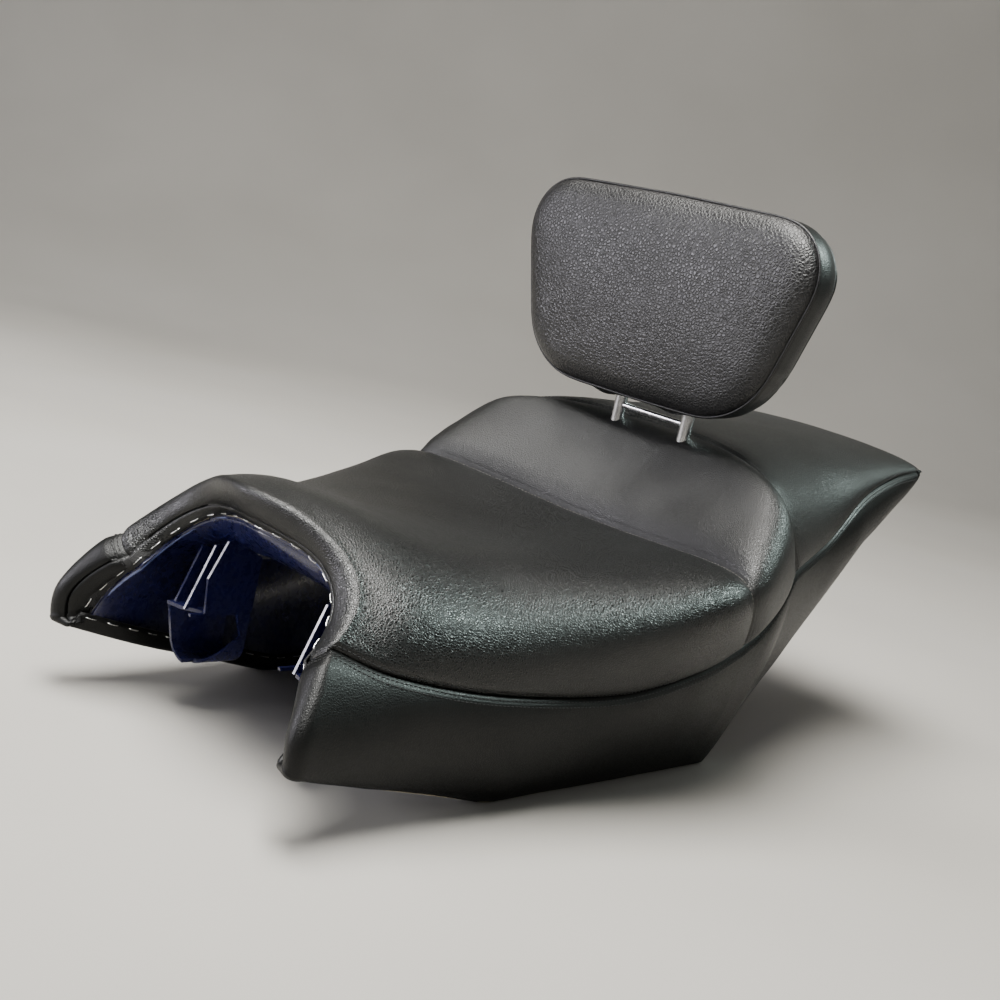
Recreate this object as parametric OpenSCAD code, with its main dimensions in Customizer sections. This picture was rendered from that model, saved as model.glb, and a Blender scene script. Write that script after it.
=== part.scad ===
// One-piece touring motorcycle seat with a plug-in driver's backrest.
// Frame: +Y to the tail, +Z up, +X to the rider's left, origin on the floor under the middle of the seat.

/* [Seat] */
// Length from the wing tips to the tail
seat_length = 835; // [800:5:870]
// Width over the shoulders of the driver's area
seat_width = 458; // [440:2:480]
// Thickness of the vinyl cover with its backing
cover_t = 2; // [1.6:0.2:2.6]
// Wall of the moulded seat pan
pan_t = 3; // [2.6:0.2:4]

/* [Backrest] */
// Diameter of the two backrest posts
post_d = 12.7; // [12:0.1:13]
// Distance between the posts, centre to centre
post_gap = 86; // [80:1:92]
// Lift of the backrest from its lowest place
backrest_lift = 60; // [20:5:60]
// Width of the backrest pad at its widest
pad_width = 352; // [340:2:360]
// Depth of the pad from its front seam to its back
pad_depth = 52; // [46:1:56]

/* [Underside] */
// Bolt holes of the rear bracket, centre to centre
rear_hole_gap = 150; // [140:5:160]
// Diameter of the rear bracket's bolt holes
rear_hole_d = 6.6; // [6.4:0.1:7]
// Diameter of the latch striker's rod
striker_d = 8; // [8:0.5:10]
// Diameter of the rubber buffers
buffer_d = 24; // [20:1:28]

/* [Hidden] */
$fn = 48;

vinyl = [0.07, 0.07, 0.07];
foam_colour = [0.78, 0.74, 0.58];
navy = [0.05, 0.05, 0.22];
steel = [0.72, 0.73, 0.75];
black_steel = [0.12, 0.12, 0.13];
rubber = [0.10, 0.10, 0.10];
nylon = [0.85, 0.85, 0.82];

gap = 0.3;              // air between pieces that only lie on each other
mid = 422.5;            // from the wing tips to the middle of the seat, before scaling
kx = seat_width / 458;
ky = seat_length / 835;

// ---- Skin of the seat -------------------------------------------------------------------------
// Each station is half a section: top centre, two Bezier handles, side seam, lower edge.
// Points are [half width, distance from the wing tips, height].
driver_skin = fit([
    [[0, 38, 223], [62, 38, 223], [126, 110, 168], [145, 34, 130], [170, 12, 52]],
    [[0, 110, 211], [92, 110, 211], [182, 122, 180], [164, 92, 120], [166, 70, 40]],
    [[0, 200, 191], [120, 200, 191], [208, 214, 190], [182, 190, 104], [160, 160, 18]],
    [[0, 320, 184], [160, 320, 184], [260, 320, 222], [199, 318, 100], [159, 300, 0]],
    [[0, 415, 190], [180, 415, 190], [276, 372, 248], [207, 410, 116], [160, 410, 0]],
    [[0, 467, 196], [180, 467, 196], [270, 388, 242], [203, 474, 134], [160, 490, 0]]]);
bolster_skin = fit([
    [[0, 467, 196], [180, 467, 196], [270, 388, 242], [203, 474, 134], [160, 490, 0]],
    [[0, 500, 243], [170, 500, 243], [256, 424, 274], [200, 505, 150], [160, 512, 0]],
    [[0, 524, 280], [150, 524, 280], [238, 452, 294], [196, 530, 172], [159, 526, 3]],
    [[0, 545, 296], [120, 545, 296], [208, 460, 297], [190, 553, 200], [157, 545, 20]]]);
passenger_skin = fit([
    [[0, 545, 296], [120, 545, 296], [208, 460, 297], [190, 553, 200], [157, 545, 20]],
    [[0, 620, 300], [110, 620, 300], [180, 598, 286], [166, 640, 222], [152, 600, 78]],
    [[0, 700, 303], [100, 700, 303], [160, 700, 290], [150, 712, 262], [146, 690, 158]],
    [[0, 780, 305], [90, 780, 305], [140, 780, 296], [141, 780, 283], [140, 768, 225]],
    [[0, 838, 304], [80, 838, 304], [125, 838, 301], [136, 838, 292], [135, 838, 274]]]);

// How deep the pan lies under the top and behind the sides, one pair for each station.
driver_depth = [[32, 26], [60, 26], [52, 16], [46, 12], [44, 12], [46, 12]];
bolster_depth = [[46, 12], [76, 12], [106, 12], [120, 12]];
passenger_depth = [[120, 12], [66, 12], [36, 12], [28, 12], [22, 12]];
// The foam behind the crest is hollowed out, which leaves room for the backrest sockets.
bolster_hollow = [[46, 12], [46, 12], [74, 12], [86, 12]];
passenger_hollow = [[86, 12], [60, 12], [36, 12], [28, 12], [22, 12]];

// The front rim of the pan, inside the rolled front edge of the cover.
pan_rim = fit([[[0, 47, 191], [46, 62, 191], [100, 98, 152], [116, 56, 126], [147, 26, 62]]])[0];

across = 10;            // steps from the centre to the side seam
down = 4;               // steps from the side seam to the lower edge
along = 3;              // steps from one station to the next

function fit(stations) =
    [for (s = stations) [for (p = s) [p[0] * kx, (p[1] - mid) * ky, p[2]]]];

function flip(p) = [-p[0], p[1], p[2]];

function bezier(s, t) =
    pow(1 - t, 3) * s[0] + 3 * pow(1 - t, 2) * t * s[1] + 3 * (1 - t) * t * t * s[2] + pow(t, 3) * s[3];

// A smooth curve through a list of equal things: numbers, points or whole stations.
function through(list, u) = let (
        n = len(list), i = min(floor(u), n - 2), f = u - i,
        b = list[i], c = list[i + 1],
        a = i > 0 ? list[i - 1] : 2 * b - c,
        d = i + 2 < n ? list[i + 2] : 2 * c - b)
    0.5 * (2 * b + (c - a) * f + (2 * a - 5 * b + 4 * c - d) * f * f
        + (3 * b - a - 3 * c + d) * f * f * f);

// Height of the lower edge: the wings rise to the nose, the tail edge rises in two slopes.
function edge_z(y) = let (s = y / ky + mid)
    max(0, 52 * (225 - s) / 213, min(0.955 * (s - 517), 206 + 0.68 * (s - 732)));

function at_station(skin, u) = let (s = through(skin, u))
    [s[0], s[1], s[2], s[3], [s[4][0], s[4][1], edge_z(s[4][1])]];

// The station moved inward: top_in under the top, side_in behind the sides.
function inward(s, top_in, side_in) = [
    s[0] - [0, 0, top_in],
    s[1] - [0.3 * side_in, 0, top_in],
    s[2] - [side_in + 0.3 * top_in, 0, 0.8 * top_in],
    s[3] - [side_in, 0, 0],
    s[4] - [side_in, 0, 0]];

function skirt_point(s, t) =
    s[3] + (s[4] - s[3]) * t + [0.4 * t * (1 - t) * min(100, norm(s[4] - s[3])), 0, 0];

function top_half(s) = [for (j = [0:across]) bezier(s, j / across)];
function skirt_half(s) = [for (j = [0:down]) skirt_point(s, j / down)];
// The foam and the pan stop a little above the skirt's lower edge.
function short_skirt(s) = [for (j = [0:down]) skirt_point(s, 0.98 * j / down)];
function mirrored(half) =
    concat([for (j = [len(half) - 1:-1:1]) flip(half[j])], half);
function tail_of(list) = [for (i = [1:len(list) - 1]) list[i]];

// Rows of points for a panel: what part of the section, and how far inward at each end.
function depth_at(depths, u, extra) = let (d = through(depths, u)) [d[0] + extra, d[1] + extra];
function stations_even(skin, d) =
    [for (k = [0:(len(skin) - 1) * along]) inward(at_station(skin, k / along), d, d)];
function stations_deep(skin, depths, extra) =
    [for (k = [0:(len(skin) - 1) * along]) let (d = depth_at(depths, k / along, extra))
        inward(at_station(skin, k / along), d[0], d[1])];
// The same, but blended at its front end into the pan's rim.
function stations_rimmed(skin, depths, extra) = let (list = stations_deep(skin, depths, extra))
    [for (k = [0:len(list) - 1]) let (w = k < along ? 1 - k / along : 0)
        w * inward(pan_rim, extra, extra) + (1 - w) * list[k]];

// A quad as two triangles, on one diagonal or the other.
function split(q, other) = other ? [[q[1], q[3], q[2]], [q[1], q[0], q[3]]]
    : [[q[0], q[2], q[1]], [q[0], q[3], q[2]]];

// A closed solid between two equal grids of points. An even one is cut alike on its two sides.
module slab(outer, inner, even = false) {
    rows = len(outer);
    cols = len(outer[0]);
    size = rows * cols;
    points = [for (g = [outer, inner]) for (r = g) for (p = r) p];
    function id(g, r, c) = g * size + r * cols + c;
    function left(c) = even && c < (cols - 1) / 2;
    faces = concat(
        [for (r = [0:rows - 2]) for (c = [0:cols - 2])
            each split([id(0, r, c), id(0, r, c + 1), id(0, r + 1, c + 1), id(0, r + 1, c)], left(c))],
        [for (r = [0:rows - 2]) for (c = [0:cols - 2])
            each split([id(1, r, c), id(1, r + 1, c), id(1, r + 1, c + 1), id(1, r, c + 1)], left(c))],
        [for (c = [0:cols - 2])
            each split([id(0, 0, c + 1), id(0, 0, c), id(1, 0, c), id(1, 0, c + 1)], left(c))],
        [for (c = [0:cols - 2]) each split([id(0, rows - 1, c), id(0, rows - 1, c + 1),
            id(1, rows - 1, c + 1), id(1, rows - 1, c)], !left(c))],
        [for (r = [0:rows - 2])
            each split([id(0, r, 0), id(0, r + 1, 0), id(1, r + 1, 0), id(1, r, 0)], false)],
        [for (r = [0:rows - 2]) each split([id(0, r + 1, cols - 1), id(0, r, cols - 1),
            id(1, r, cols - 1), id(1, r + 1, cols - 1)], true)]);
    polyhedron(points, faces, convexity = 8);
}

module top_panel(outer, inner) {
    slab([for (s = outer) mirrored(top_half(s))], [for (s = inner) mirrored(top_half(s))], even = true);
}

module side_panel(outer, inner, side) {
    rows_out = [for (s = outer) skirt_half(s)];
    rows_in = [for (s = inner) skirt_half(s)];
    mirror([side < 0 ? 1 : 0, 0, 0]) slab(rows_out, rows_in);
}

// ---- Pan --------------------------------------------------------------------------------------
function pan_rows(extra) = let (list = concat(
        stations_rimmed(driver_skin, driver_depth, extra),
        tail_of(stations_deep(bolster_skin, bolster_depth, extra)),
        tail_of(stations_deep(passenger_skin, passenger_depth, extra))))
    [for (s = list) mirrored(concat(top_half(s), tail_of(short_skirt(s))))];

module seat_pan() {
    color(navy) slab(pan_rows(gap), pan_rows(gap + pan_t), even = true);
}

// Ribs, a shelf and a round-bottomed pocket that drop over the tank's rear bracket.
// Points are [distance from the wing tips, height] unless they say otherwise.
rib_x = [60, 75, 90];                     // distance of each rib from the middle
rib_front = [[[77, 91], [74, 122], [88, 154]], [[67, 91], [87, 146]], [[67, 91], [81, 130]]];
rib_t = 2.4;
shelf_z = 92.5;
shelf_t = 3;
shelf_back = 125;
shelf_plan = [[94, 63], [78, 67], [60, 83], [60, shelf_back], [94, shelf_back]]; // [x, distance]
left_shelf_plan = [[94, 63], [78, 67], [78, 104], [60, 116], [60, shelf_back], [94, shelf_back]];
pocket_x = 77;
pocket_r = 17;
pocket_z = 59;
mouth_outer = [[40, 93], [63, 93], [77, 40], [40, 40]];                   // cut off the pocket's front
mouth_inner = [[40, 89], [111, 89], [119, 69], [91, 47], [84, 40], [40, 40]]; // and off its inner wall
// Height of the pan's underside at one station, for a distance from the middle.
function ceiling_z(u, x) = lookup(x, [for (j = [0:across])
    let (p = pan_under(driver_skin, driver_depth, u, j / across)) [p[0], p[2]]]);
function placed(points) = [for (p = points) [(p[0] - mid) * ky, p[1]]];
module pocket_outline(r) {
    circle(r = r);
    translate([-r, 0]) square([2 * r, shelf_z - 1 - pocket_z]);
}
// A plate of the given outline, seen from the side, between two distances from the middle.
module side_plate(x_from, x_to, points) {
    translate([x_from, 0, 0]) rotate([90, 0, 90]) linear_extrude(x_to - x_from) polygon(points);
}
module front_locator(side) {
    color(navy) mirror([side < 0 ? 1 : 0, 0, 0]) {
        for (i = [side > 0 ? 1 : 0:2]) { // the left one has no inner rib
            head = placed([rib_front[i][len(rib_front[i]) - 1]])[0];
            side_plate(rib_x[i] - rib_t / 2, rib_x[i] + rib_t / 2, concat(placed(rib_front[i]),
                [head + [4, max(1, ceiling_z(0.8, rib_x[i]) - head[1])],
                    [placed([[shelf_back, 0]])[0][0], ceiling_z(1.1, rib_x[i]) - 2],
                    placed([[shelf_back, shelf_z - 1]])[0]]));
        }
        translate([0, 0, shelf_z - shelf_t]) linear_extrude(shelf_t)
            polygon([for (p = side > 0 ? left_shelf_plan : shelf_plan) [p[0], (p[1] - mid) * ky]]);
        difference() {
            translate([pocket_x, (shelf_back - mid) * ky, pocket_z]) rotate([90, 0, 0])
                linear_extrude((shelf_back - shelf_plan[0][1]) * ky) difference() {
                    pocket_outline(pocket_r);
                    pocket_outline(pocket_r - shelf_t);
                }
            side_plate(pocket_x - 30, pocket_x + 30, placed(mouth_outer));
            side_plate(pocket_x - 30, pocket_x, placed(mouth_inner));
        }
    }
}
module front_locator_left() front_locator(1);
module front_locator_right() front_locator(-1);

// ---- Foam -------------------------------------------------------------------------------------
under_cover = cover_t + gap;
post_x = post_gap / 2;
post_y = (528 - mid) * ky;
module at_posts() for (x = [-post_x, post_x]) translate([x, post_y, 0]) children();

module driver_foam() {
    color(foam_colour) top_panel(stations_even(driver_skin, under_cover),
        stations_rimmed(driver_skin, driver_depth, 0));
}
module bolster_foam() {
    color(foam_colour) difference() {
        top_panel(stations_even(bolster_skin, under_cover), stations_deep(bolster_skin, bolster_hollow, 0));
        at_posts() translate([0, 0, 150]) cylinder(r = tube_r + 1.5, h = 160);
    }
}
module passenger_foam() {
    color(foam_colour) top_panel(stations_even(passenger_skin, under_cover),
        stations_deep(passenger_skin, passenger_hollow, 0));
}
module side_foam(side) {
    outer = concat(stations_even(driver_skin, under_cover),
        tail_of(stations_even(bolster_skin, under_cover)),
        tail_of(stations_even(passenger_skin, under_cover)));
    inner = concat(stations_rimmed(driver_skin, driver_depth, 0),
        tail_of(stations_deep(bolster_skin, bolster_depth, 0)),
        tail_of(stations_deep(passenger_skin, passenger_depth, 0)));
    color(foam_colour) mirror([side < 0 ? 1 : 0, 0, 0]) slab([for (s = outer) short_skirt(s)],
        [for (s = inner) short_skirt(s)]);
}
module side_foam_left() side_foam(1);
module side_foam_right() side_foam(-1);

// ---- Cover ------------------------------------------------------------------------------------
module cover_driver() {
    color(vinyl) top_panel(stations_even(driver_skin, 0), stations_even(driver_skin, cover_t));
}
module cover_bolster() {
    color(vinyl) difference() {
        top_panel(stations_even(bolster_skin, 0), stations_even(bolster_skin, cover_t));
        at_posts() translate([0, 0, 200]) cylinder(r = post_d / 2 + 1, h = 150);
    }
}
module cover_passenger() {
    color(vinyl) top_panel(stations_even(passenger_skin, 0), stations_even(passenger_skin, cover_t));
}
module cover_skirt(side) {
    outer = concat(stations_even(driver_skin, 0), tail_of(stations_even(bolster_skin, 0)),
        tail_of(stations_even(passenger_skin, 0)));
    inner = concat(stations_even(driver_skin, cover_t), tail_of(stations_even(bolster_skin, cover_t)),
        tail_of(stations_even(passenger_skin, cover_t)));
    color(vinyl) side_panel(outer, inner, side);
}
module cover_skirt_left() cover_skirt(1);
module cover_skirt_right() cover_skirt(-1);

// Closes the tail from the passenger's top down to the lower edge.
module cover_tail() {
    last = at_station(passenger_skin, len(passenger_skin) - 1);
    outline = mirrored(concat(top_half(last), tail_of(skirt_half(last))));
    color(vinyl) translate([0, last[0][1] + cover_t, 0]) rotate([90, 0, 0]) linear_extrude(cover_t)
        polygon([for (p = outline) [p[0], p[2]]]);
}

// The cover turned over the front of the foam and stapled to the pan's rim.
roll_r = 12;
roll_steps = 6;
front_line = let (s = at_station(driver_skin, 0)) concat(top_half(s), tail_of(skirt_half(s)));
rim_line = concat(top_half(pan_rim), tail_of(skirt_half(pan_rim)));
function roll_point(a, b, angle, in) = let (half = (a - b) / 2, k = 1 - in / norm(half))
    (a + b) / 2 + half * k * cos(angle) - [0, (roll_r - in) * sin(angle), 0];
function roll_rows(in) = [for (j = [0:len(front_line) - 1])
    [for (i = [0:roll_steps]) roll_point(front_line[j], rim_line[j], 180 * i / roll_steps, in)]];
module cover_front_edge() {
    color(vinyl) {
        mirror([1, 0, 0]) slab(roll_rows(0), roll_rows(cover_t));
        slab(roll_rows(0), roll_rows(cover_t));
    }
}

staple_l = 10;
staple_count = 11;
staple_angle = 148;
module staple(p, q) {
    d = q - p;
    translate((p + q) / 2) rotate([0, -asin(d[2] / norm(d)), atan2(d[1], d[0])])
        cube([staple_l, 1, 1], center = true);
}
function line_point(line, u) = let (i = min(floor(u), len(line) - 2), f = u - i)
    line[i] * (1 - f) + line[i + 1] * f;
function staple_place(u) = roll_point(line_point(front_line, u), line_point(rim_line, u), staple_angle, 0);
module edge_staples() {
    step = (len(front_line) - 1) / staple_count;
    color(steel) for (side = [0, 1]) mirror([side, 0, 0])
        for (n = [0:staple_count - 1]) let (u = (n + 0.4) * step)
            staple(staple_place(u), staple_place(u + 0.2 * step));
}

// ---- Underside fittings -----------------------------------------------------------------------
// A point on the pan's underside: how far along the skin, how far across.
function pan_under(skin, depths, u, t) = let (d = depth_at(depths, u, gap + pan_t))
    bezier(inward(at_station(skin, u), d[0], d[1]), t);

buffer_h = 16;
buffer_seat = 1.5;      // the pan slopes across a buffer's top
buffer_points = [pan_under(driver_skin, driver_depth, 2.0, 0.32),
    pan_under(driver_skin, driver_depth, 3.8, 0.3), pan_under(passenger_skin, passenger_depth, 3.0, 0.3)];
module at_buffers() for (p = buffer_points) for (side = [-1, 1])
    translate([side * p[0], p[1], p[2] - buffer_seat]) children();
module rubber_buffers() {
    color(rubber) at_buffers() translate([0, 0, -buffer_h]) difference() {
        cylinder(d = buffer_d, h = buffer_h);
        translate([0, 0, -1]) cylinder(r = 2.6, h = buffer_h + 2);
        translate([0, 0, -1]) cylinder(r = 5.2, h = 6);
    }
}
module buffer_screws() {
    color(steel) at_buffers() translate([0, 0, -buffer_h + 2]) {
        cylinder(r = 4.6, h = 3);
        translate([0, 0, 3]) cylinder(r = 2.4, h = buffer_h + 1);
    }
}

striker_at = pan_under(driver_skin, driver_depth, 4, 0);
plate_t = 3;
plate_w = 84;
plate_l = 56;
bolt_r = 3;
striker_drop = 40;
striker_gap = 36;
plate_top = striker_at[2] - 2;          // the pan is crowned, so the plate sits on its sides
module at_striker_bolts() for (x = [-1, 1]) for (y = [-1, 1])
    translate([x * (plate_w / 2 - 9), striker_at[1] + y * (plate_l / 2 - 9), 0]) children();
module striker_plate() {
    color(black_steel) difference() {
        translate([-plate_w / 2, striker_at[1] - plate_l / 2, plate_top - plate_t])
            cube([plate_w, plate_l, plate_t]);
        at_striker_bolts() translate([0, 0, plate_top - plate_t - 1])
            cylinder(r = bolt_r + 0.2, h = plate_t + 2);
    }
}
module latch_striker() {
    r = striker_d / 2;
    z = plate_top - plate_t - striker_drop;
    color(steel) translate([0, striker_at[1], z]) {
        for (x = [-1, 1]) translate([x * (striker_gap / 2 + r), 0, 0]) {
            cylinder(r = r, h = striker_drop);
            sphere(r = r);
        }
        translate([-striker_gap / 2 - r, 0, 0]) rotate([0, 90, 0]) cylinder(r = r, h = striker_gap + 2 * r);
    }
}
module hex_bolt(shank) {
    translate([0, 0, -4]) cylinder(r = 5.7, h = 4, $fn = 6);
    cylinder(r = bolt_r, h = shank);
}
module striker_bolts() {
    color(steel) at_striker_bolts() translate([0, 0, plate_top - plate_t]) hex_bolt(plate_t + 10);
}

rear_at = pan_under(passenger_skin, passenger_depth, 2.2, 0);
strap_t = 4;
strap_l = 36;
strap_step = 20;
hat_w = rear_hole_gap - 44;
foot_w = 42;
strap_top = rear_at[2] - 4;
module rear_bracket() {
    color(black_steel) translate([0, rear_at[1], strap_top]) difference() {
        union() {
            translate([-hat_w / 2, -strap_l / 2, -strap_t]) cube([hat_w, strap_l, strap_t]);
            for (side = [0, 1]) mirror([side, 0, 0]) {
                translate([hat_w / 2 - strap_t, -strap_l / 2, -strap_step]) {
                    cube([strap_t, strap_l, strap_step]);
                    cube([foot_w, strap_l, strap_t]);
                }
            }
        }
        for (x = [-1, 1]) {
            translate([x * rear_hole_gap / 2, 0, -strap_step - 1])
                cylinder(d = rear_hole_d, h = strap_t + 2);
            translate([x * 30, 0, -strap_t - 1]) cylinder(r = bolt_r + 0.2, h = strap_t + 2);
        }
    }
}
module rear_bracket_screws() {
    color(steel) for (x = [-30, 30]) translate([x, rear_at[1], strap_top - strap_t]) hex_bolt(strap_t + 12);
}

// ---- Backrest sockets -------------------------------------------------------------------------
bracket_w = 140;
bracket_l = 44;
bracket_t = 4;
bracket_z = 188;
tube_r = 9.5;
tube_wall = 1.5;
tube_top = 272;
bush_play = 0.05;       // running clearance on the radius between post and bush
module at_bracket_bolts() for (x = [-1, 1]) for (y = [-1, 1])
    translate([x * (bracket_w / 2 - 8), post_y + y * (bracket_l / 2 - 8), 0]) children();
module receiver_bracket() {
    leg = 7;
    color(black_steel) difference() {
        union() {
            translate([-bracket_w / 2, post_y - bracket_l / 2, bracket_z])
                cube([bracket_w, bracket_l, bracket_t]);
            at_bracket_bolts() translate([0, 0, bracket_z - leg]) cylinder(r = 7, h = leg);
        }
        at_bracket_bolts() translate([0, 0, bracket_z - leg - 1])
            cylinder(r = bolt_r + 0.2, h = leg + bracket_t + 2);
    }
}
module receiver_tube(side) {
    color(black_steel) translate([side * post_x, post_y, bracket_z + bracket_t]) difference() {
        cylinder(r = tube_r, h = tube_top - bracket_z - bracket_t);
        translate([0, 0, -1]) cylinder(r = tube_r - tube_wall, h = tube_top - bracket_z + 2);
    }
}
module receiver_tube_left() receiver_tube(1);
module receiver_tube_right() receiver_tube(-1);
module receiver_bush(side) {
    flange_t = 2;
    color(nylon) translate([side * post_x, post_y, bracket_z + bracket_t]) difference() {
        union() {
            cylinder(r = tube_r - tube_wall, h = tube_top - bracket_z - bracket_t);
            translate([0, 0, tube_top - bracket_z - bracket_t]) cylinder(r = tube_r, h = flange_t);
        }
        translate([0, 0, -1]) cylinder(r = post_d / 2 + bush_play, h = tube_top - bracket_z + flange_t);
    }
}
module receiver_bush_left() receiver_bush(1);
module receiver_bush_right() receiver_bush(-1);
module receiver_bolts() {
    color(steel) at_bracket_bolts() translate([0, 0, bracket_z + bracket_t]) mirror([0, 0, 1]) hex_bolt(30);
}

// ---- Backrest ---------------------------------------------------------------------------------
post_grip = 19;         // length left in the socket with the backrest fully up
post_low = tube_top - post_grip - backrest_lift;
post_high = 430;
pad_front = (485 - mid) * ky;          // plane of the pad's front seam
pad_back = pad_front + pad_depth;
board_front = post_y - post_d / 2 - 11.4;
board_t = 8;
sheet_t = 3;
brace_z = 303;
module post(side) {
    color(steel) translate([side * post_x, post_y, post_low])
        cylinder(d = post_d, h = post_high - post_low);
}
module post_left() post(1);
module post_right() post(-1);
module post_brace() {
    color(steel) difference() {
        translate([-post_x, post_y, brace_z]) rotate([0, 90, 0]) cylinder(r = 3, h = post_gap);
        at_posts() translate([0, 0, brace_z - 10]) cylinder(d = post_d + 0.02, h = 20);
    }
}

// Outline of the pad seen from the front: wide round shoulders above, narrow round chin below.
pad_top = 513;
pad_low = 319;
shoulder_r = 50;
chin_r = 76;
chin_x = 78;
function arc(cx, cz, r, from, to, steps) =
    [for (i = [0:steps]) let (a = from + (to - from) * i / steps) [cx + r * cos(a), cz + r * sin(a)]];
function pad_half(grow) = concat([[0, pad_top + 2 + grow]],
    arc(pad_width / 2 - shoulder_r, pad_top - shoulder_r, shoulder_r + grow, 88, -12, 10),
    arc(chin_x, pad_low + chin_r, chin_r + grow, -22, -88, 8),
    [[0, pad_low - 1 - grow]]);
function pad_outline(grow) = let (h = pad_half(grow))
    concat(h, [for (i = [len(h) - 2:-1:1]) [-h[i][0], h[i][1]]]);
module pad_block(front, back, grow) {
    translate([0, back, 0]) rotate([90, 0, 0]) linear_extrude(back - front) polygon(pad_outline(grow));
}
module pad_crown(in) {
    hull() {
        pad_block(pad_front - 0.5, pad_front + 1, -in);
        pad_block(pad_front - 6 + in, pad_front, -5 - in);
        pad_block(pad_front - 10 + in, pad_front, -18 - in);
        pad_block(pad_front - 12 + in, pad_front, -45 - in);
    }
}
module pad_cover_front() {
    color(vinyl) difference() {
        pad_crown(0);
        pad_crown(cover_t);
        pad_block(pad_front - 0.5, pad_front + 2, -cover_t);
    }
}
module pad_foam() {
    color(foam_colour) union() {
        pad_crown(under_cover);
        pad_block(pad_front, board_front - gap, -under_cover);
    }
}
module pad_board() {
    color([0.2, 0.2, 0.2]) pad_block(board_front, board_front + board_t, -under_cover - 2);
}
module at_sheet_screws() for (x = [-1, 1]) for (z = [-1, 1])
    translate([x * (post_x - 20), board_front + board_t + sheet_t, 400 + z * 25]) children();
module pad_plate() {
    color(black_steel) difference() {
        translate([-post_x - 14, board_front + board_t, 350]) cube([post_gap + 28, sheet_t, 90]);
        at_sheet_screws() rotate([90, 0, 0]) translate([0, 0, -1]) cylinder(r = 2.7, h = sheet_t + 2);
    }
}
module pad_plate_screws() {
    color(steel) at_sheet_screws() rotate([90, 0, 0]) {
        translate([0, 0, -2.5]) cylinder(r = 4.5, h = 2.5);
        cylinder(r = 2.5, h = sheet_t + 6);
    }
}
module pad_boxing() {
    color(vinyl) difference() {
        pad_block(pad_front + 1, pad_back, 0);
        pad_block(pad_front, pad_back + 1, -cover_t);
        at_posts() translate([0, 0, pad_low - 20]) cylinder(r = post_d / 2 + 0.6, h = 60);
    }
}
module pad_cover_back() {
    color(vinyl) pad_block(pad_back + 0.02, pad_back + cover_t, 0);
}

seat_pan();
front_locator_left();
front_locator_right();
driver_foam();
bolster_foam();
passenger_foam();
side_foam_left();
side_foam_right();
cover_driver();
cover_bolster();
cover_passenger();
cover_skirt_left();
cover_skirt_right();
cover_tail();
cover_front_edge();
edge_staples();
rubber_buffers();
buffer_screws();
striker_plate();
latch_striker();
striker_bolts();
rear_bracket();
rear_bracket_screws();
receiver_bracket();
receiver_tube_left();
receiver_tube_right();
receiver_bush_left();
receiver_bush_right();
receiver_bolts();
post_left();
post_right();
post_brace();
pad_plate();
pad_plate_screws();
pad_board();
pad_foam();
pad_cover_front();
pad_boxing();
pad_cover_back();
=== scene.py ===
import math

import bpy
import numpy as np
import bmesh
from mathutils import Matrix, Vector, noise


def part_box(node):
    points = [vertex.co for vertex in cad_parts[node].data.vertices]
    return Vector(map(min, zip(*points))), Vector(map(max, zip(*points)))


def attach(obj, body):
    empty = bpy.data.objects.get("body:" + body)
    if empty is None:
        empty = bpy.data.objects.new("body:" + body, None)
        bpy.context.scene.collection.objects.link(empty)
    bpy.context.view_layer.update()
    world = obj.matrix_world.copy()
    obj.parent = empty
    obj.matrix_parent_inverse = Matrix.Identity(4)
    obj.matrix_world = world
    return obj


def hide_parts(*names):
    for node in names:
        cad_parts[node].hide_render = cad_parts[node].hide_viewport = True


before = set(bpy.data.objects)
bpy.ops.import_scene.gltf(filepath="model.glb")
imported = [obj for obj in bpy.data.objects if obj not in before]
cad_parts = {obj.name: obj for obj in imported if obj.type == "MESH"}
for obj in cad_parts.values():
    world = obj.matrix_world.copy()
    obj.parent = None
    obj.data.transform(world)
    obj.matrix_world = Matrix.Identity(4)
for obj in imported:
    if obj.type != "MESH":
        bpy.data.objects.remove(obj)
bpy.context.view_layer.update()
noise.seed_set(1)       # without it the loose fibres would point another way in each run

MM = 0.001
MIDDLE = 422.5          # from the wing tips to the middle of the seat, in mm


# ---- Skin of the seat, as the CAD has it ----
def fit(stations):
    """Stations of [half width, distance from the wing tips, height] in mm, in the row frame."""
    points = np.array(stations, float)
    points[..., 1] -= MIDDLE
    return points * MM


DRIVER = fit([
    [[0, 50, 218], [44, 50, 218], [138, 117, 196], [141, 41, 138], [170, 12, 52]],
    [[0, 110, 213], [92, 110, 213], [181, 122, 178], [164, 92, 120], [166, 70, 40]],
    [[0, 200, 191], [120, 200, 191], [208, 214, 190], [182, 190, 104], [160, 160, 18]],
    [[0, 320, 184], [160, 320, 184], [260, 320, 222], [199, 318, 100], [159, 300, 0]],
    [[0, 415, 190], [180, 415, 190], [276, 372, 248], [207, 410, 116], [160, 410, 0]],
    [[0, 467, 196], [180, 467, 196], [270, 388, 242], [203, 474, 134], [160, 490, 0]]])
BOLSTER = fit([
    [[0, 467, 196], [180, 467, 196], [270, 388, 242], [203, 474, 134], [160, 490, 0]],
    [[0, 500, 243], [170, 500, 243], [256, 424, 274], [200, 505, 150], [160, 512, 0]],
    [[0, 524, 280], [150, 524, 280], [238, 452, 294], [196, 530, 172], [159, 526, 3]],
    [[0, 545, 296], [120, 545, 296], [208, 460, 297], [190, 553, 200], [157, 545, 20]]])
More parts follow.
